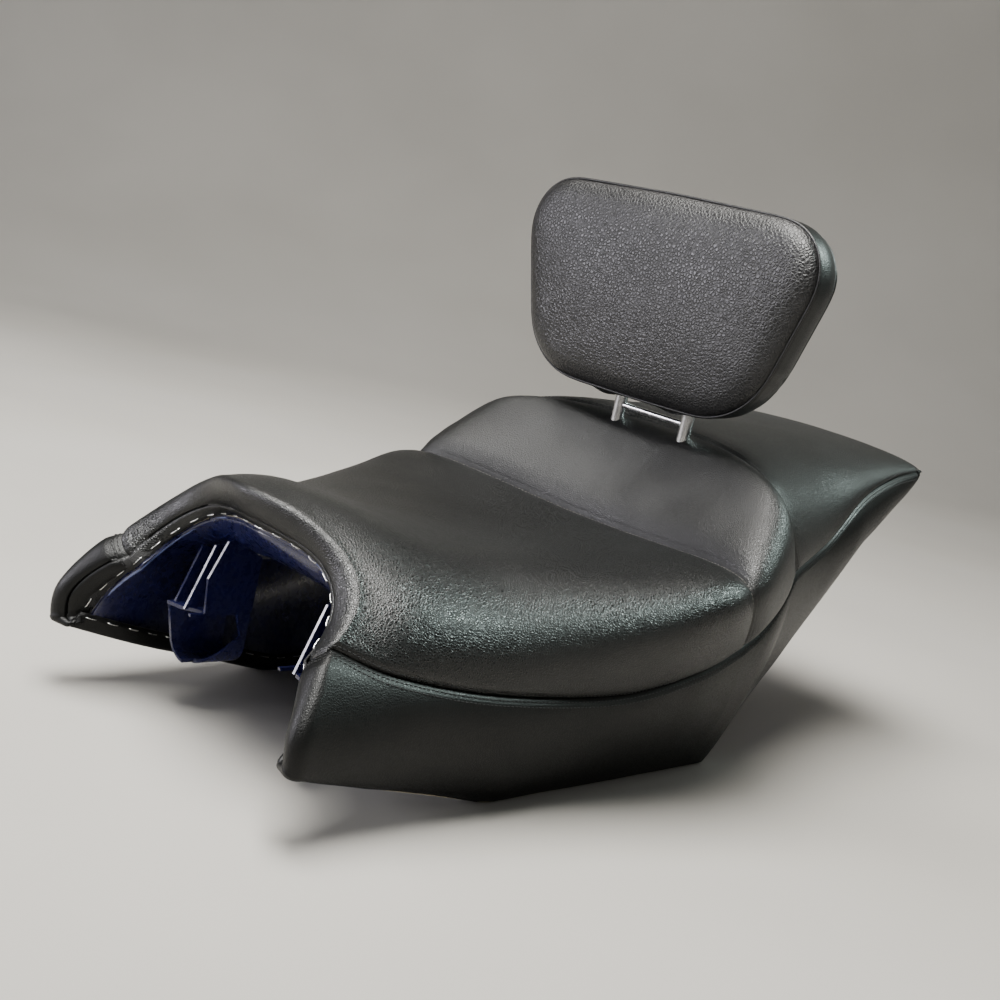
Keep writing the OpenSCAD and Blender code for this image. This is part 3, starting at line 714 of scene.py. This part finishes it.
def make_allowances():
    """The turned-in edges of the panels under their seams, as one ply rolled along each."""
    parts = []
    for k, grid in enumerate((driver_grid, bolster_grid, passenger_grid)):
        seams = panel_seams(k)
        for side in ("last", "left", "right"):
            parts.append(tube_along(facing(grid, side)[0] - seams[side] * ALLOWANCE_DOWN, ALLOWANCE_R))
    return join_parts("seam_allowances", parts, BACKING)


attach(make_allowances(), "seat")


# ---- Tail strip, front band, staples ----
TAIL_R = 5 * MM
TAIL_LOW = 274 * MM
TAIL_HALF = 126 * MM


def make_tail():
    """Closes the tail: rolls off the last section, drops to the lower edge and turns under."""
    last = station(PASSENGER, len(PASSENGER) - 1)
    outline = whole(np.concatenate([top_half(last), skirt_half(last)[1:]]))
    n = unit(np.cross(np.gradient(outline, axis=0), [0, 1, 0]))
    n = n if n[len(n) // 2, 2] > 0 else -n
    run = lengths(outline)
    share = 2 * run / run[-1] - 1
    low = np.array([TAIL_HALF, 0, 0]) * share[:, None] + [0, last[0][1] + TAIL_R, TAIL_LOW]
    rows = [outline + [0, TAIL_R * math.sin(a), 0] - n * TAIL_R * (1 - math.cos(a))
            for a in np.radians(np.linspace(0, 90, 7))]
    drop = rows[-1]
    for t in np.linspace(0, 1, 12)[1:]:
        rows.append(drop * (1 - t) + low * t + [0, 1.5 * MM * math.sin(math.pi * t), 0])
    rows += [low + [0, -3 * MM, -1 * MM], low + [0, -14 * MM, -1 * MM]]
    grid = np.stack(rows)
    shared = unit(normals(grid, (0, 1, 0))[0] + unit(outline - outline.mean(axis=0)))
    grid = upholster(grid, (0, 1, 0), {"first": shared}, puff=0.8 * MM)
    return thick("tail_strip", grid, (0, 1, 0), SIDE)


def pan_station(skin, depths, u, extra=0.0):
    """A station of the pan's surface, blended at its front end into the rim."""
    top_in, side_in = through(depths, u) + extra
    w = max(0.0, 1 - u) if skin is DRIVER else 0.0
    return w * inward(PAN_RIM, extra, extra) + (1 - w) * inward(station(skin, u), top_in, side_in)


def pan_section(s):
    return whole(np.concatenate([top_half(s), skirt_half(s, 0.98)[1:]]))


def roll_sections():
    """The whole section of the front edge and of the pan's rim, from wing to wing."""
    return pan_section(station(DRIVER, 0)), pan_section(PAN_RIM)


def band_rows(angles, out):
    """Rows on the tight part of the roll, raised off it by a distance."""
    front, rim = roll_sections()
    radii = mirrored(roll_radii(front[len(front) // 2:]))
    rows = np.stack([roll_row(front, rim, a, radii) for a in np.radians(angles)])
    return rows + normals(rows, (0, -1, -1)) * out


BAND_ANGLES = np.linspace(122, 184, 14)


def make_front_band():
    """The cover's stapled edge, lying over the flange, with a ragged end towards the pan."""
    rows = band_rows(BAND_ANGLES, 1.2 * MM)
    n = normals(rows, (0, -1, -1))
    ragged = soft_noise(rows, 0.0035, 1.0, 5.0)
    fray = np.linspace(0, 1, len(rows))[:, None] ** 3
    rows = rows + n * (ragged * fray * 2.6 * MM + soft_noise(rows, 0.015, 1.2 * MM))[..., None]
    slide = unit(rows[-1] - rows[-2])
    rows[-1] += slide * (ragged[-1] * 5 * MM)[:, None]
    return thick("front_band", rows, (0, -1, -1), BACKING, 1.4 * MM)


BEAD_R = 1.7 * MM


def make_rim_bead():
    """The rounded edge of the pan, that stands a little proud of the stapled cover, coloured pale blue as a
    painted highlight of the navy rim.
    """
    _, rim = roll_sections()
    verts, faces = tube_along(rim + np.array([0, 1.5, -2.2]) * MM, BEAD_R)
    return add_object("pan_rim_bead", verts, faces, PAN_RIM_HIGHLIGHT)


STAPLE_LONG = 11 * MM
STAPLE_PITCH = 20 * MM
STAPLE_R = 0.45 * MM


STAPLE_PLACES = np.array([0, 0.03, 0.15, 0.5, 0.85, 0.97, 1]) * STAPLE_LONG
STAPLE_LIFT = np.array([-1.5, 0.3, 0.5, 0.5, 0.5, 0.3, -1.5])[:, None] * MM


def staples_along(path, up):
    """Wire staples along a line, each with a straight back and both legs in the cover."""
    run = lengths(path)
    parts = []
    for start in np.arange(STAPLE_PITCH / 3, run[-1] - STAPLE_LONG, STAPLE_PITCH):
        where = start + STAPLE_PLACES
        first, last = spread(run, path, where[[0, -1]])
        chord = first + (last - first) * np.linspace(0, 1, len(where))[:, None]
        parts.append(tube_along(chord + unit(spread(run, up, where)) * STAPLE_LIFT, STAPLE_R, sides=6))
    return parts


def make_staples():
    rows = band_rows(BAND_ANGLES, 1.8 * MM)
    parts = staples_along(rows[6], normals(rows, (0, -1, -1))[6])
    for grid, inner in ((skirts[0][1], -1), (skirts[1][1], 1)):
        hem = grid[len(ROLL_ANGLES) - 4:-6]
        path = (hem[:, -1] + 2 * hem[:, -2]) / 3
        up = np.tile(np.array([inner, 0, 0.0]), (len(path), 1))
        parts += staples_along(path + up * 0.4 * MM, up)
    return join_parts("edge_staple_rows", parts, STAPLE)


HAIR_PITCH = 0.9 * MM


def make_fuzz():
    """Loose fibres of the backing along the cut edge at the front and up the hems."""
    front = band_rows([178, 186], 1.4 * MM)
    lines = [(front[0], unit(front[1] - front[0]), 2.6 * MM)]
    for grid in (skirts[0][1], skirts[1][1]):
        edge = grid[len(ROLL_ANGLES) - 6:-6]
        lines.append((edge[:, -1], unit(edge[:, -1] - edge[:, -2]), 2.4 * MM))
        lines.append((edge[:, SKIRT_COLS + 6], np.tile([0, 0, -1.0], (len(edge), 1)), 1.6 * MM))
    verts, faces = [], []
    for path, way, long in lines:
        run = lengths(path)
        for place in np.arange(0, run[-1], HAIR_PITCH):
            root, grow = spread(run, path, [place])[0], spread(run, way, [place])[0]
            bend = np.array(noise.noise_vector(Vector(root) * 900))
            tip = root + unit(grow + 0.9 * bend) * long * (0.5 + 0.8 * abs(bend[0]))
            tip[2] = max(tip[2], 0.1 * MM)
            side = np.cross(grow, bend) * 0.25 * MM
            base = len(verts)
            verts += [root + side, root - side, root + unit(bend) * 0.18 * MM, tip]
            faces += [(base + k, base + (k + 1) % 3, base + 3) for k in range(3)]
    return add_object("edge_fuzz", verts, faces, BACKING, smooth=False)


# ---- Pan ----
def make_pan():
    places = [(DRIVER, DRIVER_DEPTH, u) for u in np.linspace(0, 5, 71)]
    places += [(BOLSTER, BOLSTER_DEPTH, u) for u in np.linspace(0, 3, 31)[1:]]
    places += [(PASSENGER, PASSENGER_DEPTH, u) for u in np.linspace(0, 4, 51)[1:]]

    outer, inner = (np.stack([pan_section(pan_station(*place, extra)) for place in places])
                    for extra in (GAP, GAP + PAN_T))
    return shell("pan_shell", outer, inner, NAVY)


# ---- Foam ----
UNDER_COVER = COVER_T + 3 * GAP
FOAM_SUNK = 6 * MM
FOAM_SUNK_WIDTH = 9 * MM
SIDE_FOAM_END = 3.6     # the last place on the passenger's skin that has foam at the sides


def foam_block(name, skin, hollow):
    """Foam between the cover and the pan, lower along the seams, where the covers are drawn in."""
    places = np.linspace(0, len(skin) - 1, (len(skin) - 1) * 6 + 1)
    grid = np.stack([whole(top_half(inward(station(skin, u), UNDER_COVER, UNDER_COVER))) for u in places])
    inner = np.stack([whole(top_half(pan_station(skin, hollow, u))) for u in places])
    sunk = np.abs(soft_noise(grid, 0.01, 0.8 * MM))
    for side in ("last", "left", "right") if skin is DRIVER else ("first", "last", "left", "right"):
        sunk += FOAM_SUNK * np.exp(-(run_from(grid, side) / FOAM_SUNK_WIDTH) ** 2)
    return shell(name, grid - normals(grid, UP) * sunk[..., None], inner, FOAM)


def side_foam(name, side):
    outer, inner = [], []
    for skin, depths, u in side_sections():
        if skin is PASSENGER and u > SIDE_FOAM_END:
            continue
        outer.append(skirt_half(inward(station(skin, u), UNDER_COVER, UNDER_COVER) - [0, 0, 4 * MM], 0.97))
        inner.append(skirt_half(pan_station(skin, depths, u), 0.97))
    grids = [np.stack(outer), np.stack(inner)]
    return shell(name, *(g if side > 0 else flipped(g) for g in grids), FOAM)


tail_piece = make_tail()
band_piece = make_front_band()
staple_piece = make_staples()
pan_piece = make_pan()
foams = [(foam_block("driver_foam_core", DRIVER, DRIVER_DEPTH), "driver_foam"),
         (foam_block("bolster_foam_core", BOLSTER, BOLSTER_HOLLOW), "bolster_foam"),
         (foam_block("passenger_foam_core", PASSENGER, PASSENGER_HOLLOW), "passenger_foam"),
         (side_foam("side_foam_core_left", 1), "side_foam_left"),
         (side_foam("side_foam_core_right", -1), "side_foam_right")]
for piece, cad_node in [(tail_piece, "cover_tail"), (band_piece, "cover_front_edge"),
                        (staple_piece, "edge_staples"), (pan_piece, "seat_pan")] + foams:
    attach(piece, "seat")
    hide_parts(cad_node)
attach(make_rim_bead(), "seat")
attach(make_fuzz(), "seat")


# ---- Stitches of the seat ----
def stitches(name, grid, outward, side, distances, material):
    n = normals(grid, outward)
    parts = []
    for d in distances:
        path = beside(grid, side, d)
        parts += stitch_line(path, facing(n, side)[4])
    return join_parts(name, parts, material)


SECOND_ROW = 2.1        # times as far from the seam as the first
stitch_jobs = [("stitch_driver_back", driver_grid, UP, "last", THREAD_GREY),
               ("stitch_driver_left", driver_grid, UP, "right", THREAD_BLACK),
               ("stitch_driver_right", driver_grid, UP, "left", THREAD_BLACK),
               ("stitch_bolster_back", bolster_grid, UP, "last", THREAD_BLACK),
               ("stitch_passenger_front", passenger_grid, UP, "first", THREAD_BLACK),
               ("stitch_passenger_left", passenger_grid, UP, "right", THREAD_BLACK),
               ("stitch_passenger_right", passenger_grid, UP, "left", THREAD_BLACK),
               ("stitch_passenger_tail", passenger_grid, UP, "last", THREAD_BLACK),
               ("stitch_skirt_left", skirts[0][1], LEFT, "left", THREAD_BLACK),
               ("stitch_skirt_right", skirts[1][1], (-1, 0, 0), "left", THREAD_BLACK)]
for name, grid, outward, side, material in stitch_jobs:
    rows = (SEAM_AT, SECOND_ROW * SEAM_AT) if "skirt" in name else (SEAM_AT,)
    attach(stitches(name, grid, outward, side, rows, material), "seat")


# ---- Backrest pad ----
post_low, post_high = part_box("post_left")
POST_X = (post_low.x + post_high.x) / 2
back_low, back_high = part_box("pad_cover_back")
PAD_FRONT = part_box("pad_cover_front")[1].y - 1 * MM        # plane of the front seam
PAD_BACK = back_low.y
PAD_TOP = back_high.z - 2 * MM
PAD_LOW = back_low.z + 1 * MM
PAD_HALF = back_high.x
SHOULDER_R = 50 * MM
CHIN_R = 76 * MM
CHIN_X = 78 * MM
PAD_MIDDLE = Vector((0, 0, 424 * MM))
JOIN_Z = 372 * MM
OUTLINE_POINTS = 220


def arc(cx, cz, r, start, stop, steps):
    a = np.radians(np.linspace(start, stop, steps))
    return np.stack([cx + r * np.cos(a), cz + r * np.sin(a)], 1)


def pad_outline():
    """The pad from the front: round shoulders, narrower round chin; even points, top centre first."""
    half = np.concatenate([[[0, PAD_TOP + 2 * MM]],
                           arc(PAD_HALF - SHOULDER_R, PAD_TOP - SHOULDER_R, SHOULDER_R, 88, -12, 30),
                           arc(CHIN_X, PAD_LOW + CHIN_R, CHIN_R, -22, -88, 24),
                           [[0, PAD_LOW - 1 * MM]]])
    full = np.concatenate([half, (half * [-1, 1])[-2:0:-1], half[:1]])
    line = at_lengths(full, np.linspace(0, lengths(full)[-1], OUTLINE_POINTS, endpoint=False))
    for _ in range(14):
        line = (np.roll(line, 1, 0) + 2 * line + np.roll(line, -1, 0)) / 4
    return line


OUTLINE = pad_outline()


def out_of(line):
    t = unit(np.roll(line, -1, 0) - np.roll(line, 1, 0))
    n = np.stack([-t[:, 1], t[:, 0]], 1)
    centre = line.mean(axis=0)
    return n if ((line - centre) * n).sum() > 0 else -n


def ring_at(scale_in, y):
    """The outline drawn in by a distance, as 3-D points in the plane y."""
    line = OUTLINE - out_of(OUTLINE) * scale_in
    return np.stack([line[:, 0], np.full(len(line), y), line[:, 1]], 1)


def ring_mesh(name, rings, cap_last, material):
    """A sheet of closed rings, with its last one closed by a fan, thickened."""
    rings = np.stack(rings)
    count, cols = rings.shape[:2]
    faces = grid_faces(count, cols, closed=True)
    verts = list(rings.reshape(-1, 3))
    if cap_last:
        verts.append(rings[-1].mean(axis=0))
        faces += fan(cols, (count - 1) * cols, len(verts) - 1)
    obj = add_object(name, verts, faces, material)
    solid = obj.modifiers.new("thickness", "SOLIDIFY")
    solid.thickness = COVER_T
    solid.offset = -1
    apply_modifiers(obj)
    return obj


def apply_modifiers(obj):
    with bpy.context.temp_override(object=obj, active_object=obj, selected_objects=[obj]):
        for m in list(obj.modifiers):
            bpy.ops.object.modifier_apply(modifier=m.name)


CROWN = 12 * MM


def crown(d):
    return CROWN * (1 - math.exp(-d / (7 * MM))) + 1.5 * MM * min(1.0, d / (80 * MM))


def make_pad_front():
    rings = []
    for d in np.array([0, 0.5, 1, 1.7, 2.5, 3.5, 4.5, 6, 8, 10, 12.5, 15, 18, 22]) * MM:
        dip = 0.8 * MM * math.exp(-(d / (1.5 * MM)) ** 2)
        rings.append(ring_at(d + dip * 0.4, PAD_FRONT - crown(d) + dip))
    edge = rings[-1]
    base = 22 * MM
    for t in np.linspace(0, 0.97, 26)[1:]:
        ring = edge + (np.array(PAD_MIDDLE) - edge) * t
        ring[:, 1] = PAD_FRONT - crown(base + t * 0.08)
        rings.append(ring)
    grid = np.stack(rings)
    grid = grid + swell(grid, (0, -1, 0), held_at=("first",), closed=True) * np.clip(
        run_from(grid, "first") / (14 * MM), 0, 1)[..., None]
    grid[..., 1] += soft_noise(grid, 0.07, 1.2 * MM, 2.0)
    return ring_mesh("pad_front", grid, True, PAD_FRONT_VINYL)


BACK_INSET = 15 * MM


def inset_at(t):
    """How far the pad's outline is drawn in, from its front seam at 0 to its back seam at 1."""
    return BACK_INSET * max(0.0, (t - 0.25) / 0.75) ** 1.6


def make_pad_side():
    """The boxing: it rounds in towards the back, has two sewn joins, and bulges over the posts."""
    rings = []
    for t in np.linspace(0, 1, 30):
        y = PAD_FRONT + 1 * MM + (PAD_BACK - PAD_FRONT - 1 * MM) * t
        seam = 1.6 * MM * (math.exp(-(t / 0.045) ** 2) + math.exp(-((1 - t) / 0.045) ** 2))
        ring = ring_at(seam - 1.2 * MM * math.sin(math.pi * t) + inset_at(t), y)
        low = np.clip((PAD_LOW + 30 * MM - ring[:, 2]) / (30 * MM), 0, 1)
        for x in (-POST_X, POST_X):
            near = np.exp(-((ring[:, 0] - x) / (22 * MM)) ** 2)
            ring[:, 2] -= low * near * 5 * MM * math.sin(math.pi * t) ** 0.7
        above = ring[:, 2] - JOIN_Z
        groove = 1.6 * MM * np.exp(-(above / (1.6 * MM)) ** 2)
        ridge = 0.9 * MM * np.exp(-((above - 6 * MM) / (4 * MM)) ** 2)
        ring[:, 0] += np.sign(ring[:, 0]) * (ridge - groove)
        rings.append(ring)
    grid = np.stack(rings)
    wobble = soft_noise(grid, 0.03, 2.2 * MM, 4.0)
    across = np.sin(np.linspace(0, math.pi, 30))[:, None]
    low = np.clip((PAD_LOW + 45 * MM - grid[..., 2]) / (45 * MM), 0, 1)
    grid[..., 2] += wobble * across * (0.5 + 1.2 * low)
    return ring_mesh("pad_side", grid, False, PAD_SIDE)


def make_pad_back():
    rings = []
    for d in np.array([0, 1, 2, 4, 7, 11, 16, 22]) * MM:
        y = PAD_BACK + 0.2 * MM + 3.0 * MM * (1 - math.exp(-d / (8 * MM)))
        rings.append(ring_at(BACK_INSET + d, y))
    edge = rings[-1]
    for t in np.linspace(0, 0.97, 16)[1:]:
        rings.append(edge + (np.array([0, edge[0, 1], PAD_MIDDLE.z]) - edge) * t)
    grid = np.stack(rings)
    grid[..., 1] += soft_noise(grid, 0.08, 1.2 * MM, 9.0)
    return ring_mesh("pad_back", grid, True, PAD_SIDE)


WELT_R = 1.3 * MM


def make_welt(name, y, out):
    """The rounded edge of the pad's seam."""
    verts, faces = tube_along(ring_at(-out, y), WELT_R, closed=True)
    return add_object(name, verts, faces, PAD_SIDE)


pad_pieces = [(make_pad_front(), "pad_cover_front"), (make_pad_side(), "pad_boxing"),
              (make_pad_back(), "pad_cover_back")]
for piece, cad_node in pad_pieces:
    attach(piece, "backrest")
    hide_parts(cad_node)
for piece in (make_welt("pad_welt_front", PAD_FRONT + 0.5 * MM, 0.2 * MM),
              make_welt("pad_welt_back", PAD_BACK, 0.2 * MM - BACK_INSET)):
    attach(piece, "backrest")


def make_pad_foam():
    rings = []
    for d in np.array([4, 6, 9, 14, 20, 26]) * MM:
        rings.append(ring_at(d, PAD_FRONT + 3 * MM - crown(d - 4 * MM)))
    for t in np.linspace(0, 0.97, 12)[1:]:
        rings.append(rings[5] + (np.array([0, rings[5][0, 1], PAD_MIDDLE.z]) - rings[5]) * t)
    front = np.stack(rings)[::-1]
    back_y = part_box("pad_board")[0].y - GAP
    back = [ring_at(4 * MM + inset_at((y - PAD_FRONT) / (PAD_BACK - PAD_FRONT)), y)
            for y in np.linspace(PAD_FRONT + 4 * MM, back_y, 5)]
    shut = [back[-1] + (np.array([0, back_y, PAD_MIDDLE.z]) - back[-1]) * t for t in (0.1, 0.4, 0.7, 0.97)]
    grid = np.concatenate([front, back, shut])
    count, cols = grid.shape[:2]
    faces = grid_faces(count, cols, closed=True)
    verts = list(grid.reshape(-1, 3)) + [grid[0].mean(axis=0), grid[-1].mean(axis=0)]
    faces += fan(cols, 0, len(verts) - 2) + fan(cols, (count - 1) * cols, len(verts) - 1)
    return add_object("pad_foam_core", verts, faces, FOAM)


pad_foam_piece = make_pad_foam()
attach(pad_foam_piece, "backrest")
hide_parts("pad_foam")

# ---- Materials of the parts that stay as they are ----
CAD_MATERIALS = {
    NAVY: ("front_locator_left", "front_locator_right"),
    RUBBER: ("rubber_buffers",),
    STEEL: ("post_left", "post_right", "post_brace"),
    ZINC: ("buffer_screws", "striker_bolts", "rear_bracket_screws", "receiver_bolts", "pad_plate_screws",
           "latch_striker"),
    BLACK_STEEL: ("striker_plate", "rear_bracket", "receiver_bracket", "receiver_tube_left",
                  "receiver_tube_right", "pad_plate"),
    NYLON: ("receiver_bush_left", "receiver_bush_right"),
    BOARD: ("pad_board",)}
for material, names in CAD_MATERIALS.items():
    for name in names:
        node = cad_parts[name]
        for k in range(len(node.material_slots)):
            node.material_slots[k].material = material

# ---- Camera, floor and light ----
EYE = Vector((902.6, -659.9 - MIDDLE, 463.7)) * MM
RIGHT = Vector((0.69539, 0.68537, 0.21610))
AHEAD = Vector((-0.66018, 0.72806, -0.18464))
camera = bpy.data.objects.new("camera", bpy.data.cameras.new("camera"))
camera.data.lens = 54
camera.data.sensor_width = 36
upward = RIGHT.cross(AHEAD)
camera.matrix_world = Matrix.Translation(EYE) @ Matrix((RIGHT, upward, -AHEAD)).transposed().to_4x4()
bpy.context.scene.collection.objects.link(camera)
bpy.context.scene.camera = camera


SWEEP_AT = 2.3
SWEEP_R = 1.6


def make_backdrop():
    """A pale sheet that lies on the floor and sweeps up behind the object."""
    material, tree, shader = tree_of("backdrop")
    coords = add_node(tree, "ShaderNodeTexCoord").outputs["Object"]
    tree.links.new(blend_colours(tree, remap(tree, spots(tree, coords, 1.2, 3.0), 0.35, 0.65, 0, 1),
                                 (0.60, 0.585, 0.545), (0.66, 0.645, 0.605)), shader.inputs["Base Color"])
    shader.inputs["Roughness"].default_value = 0.9
    shader.inputs["Specular IOR Level"].default_value = 0.0
    along = Vector((RIGHT.x, RIGHT.y, 0)).normalized()
    away = Vector((-along.y, along.x, 0))
    profile = [(-5.0, 0.0)] + [(SWEEP_AT + SWEEP_R * math.sin(a), SWEEP_R * (1 - math.cos(a)))
                               for a in np.radians(np.linspace(0, 88, 30))]
    profile.append((SWEEP_AT + SWEEP_R + 0.1, 7.0))
    verts = [away * d + along * x + Vector((0, 0, z)) for d, z in profile for x in (-9.0, 9.0)]
    add_object("backdrop", verts, grid_faces(len(profile), 2), material)


make_backdrop()


def area_light(name, place, target, size, power, colour, shine=False):
    """A soft rectangular light. One for shine shows only in reflections."""
    data = bpy.data.lights.new(name, "AREA")
    data.shape = "RECTANGLE"
    data.size, data.size_y = size
    data.energy = power
    data.color = colour
    light = bpy.data.objects.new(name, data)
    light.location = place
    light.rotation_euler = (Vector(target) - Vector(place)).to_track_quat("-Z", "Y").to_euler()
    light.visible_diffuse = not shine
    bpy.context.scene.collection.objects.link(light)


area_light("overhead", (-0.2, -0.4, 2.3), (0, -0.1, 0.1), (1.7, 1.1), 112, (1.0, 0.97, 0.92))
area_light("fill", (-2.2, -2.9, 1.3), (0, 0, 0.3), (1.9, 1.5), 55, (0.97, 0.95, 1.0))
area_light("shoulder_shine", (1.25, 1.45, 1.95), (0.1, 0, 0.2), (0.5, 0.35), 95, (0.82, 1.0, 0.95),
           shine=True)
area_light("lip_shine", (0.2, -1.35, 2.0), (0, -0.35, 0.2), (1.3, 0.35), 130, (1.0, 1.0, 0.97), shine=True)
area_light("pad_shine", (-1.9, -2.3, 0.75), (0, 0, 0.42), (0.8, 0.6), 42, (0.93, 0.90, 1.0), shine=True)
world = bpy.data.worlds.new("studio")
world.use_nodes = True
world.node_tree.nodes["Background"].inputs["Color"].default_value = (0.72, 0.72, 0.71, 1)
world.node_tree.nodes["Background"].inputs["Strength"].default_value = 0.20
bpy.context.scene.world = world
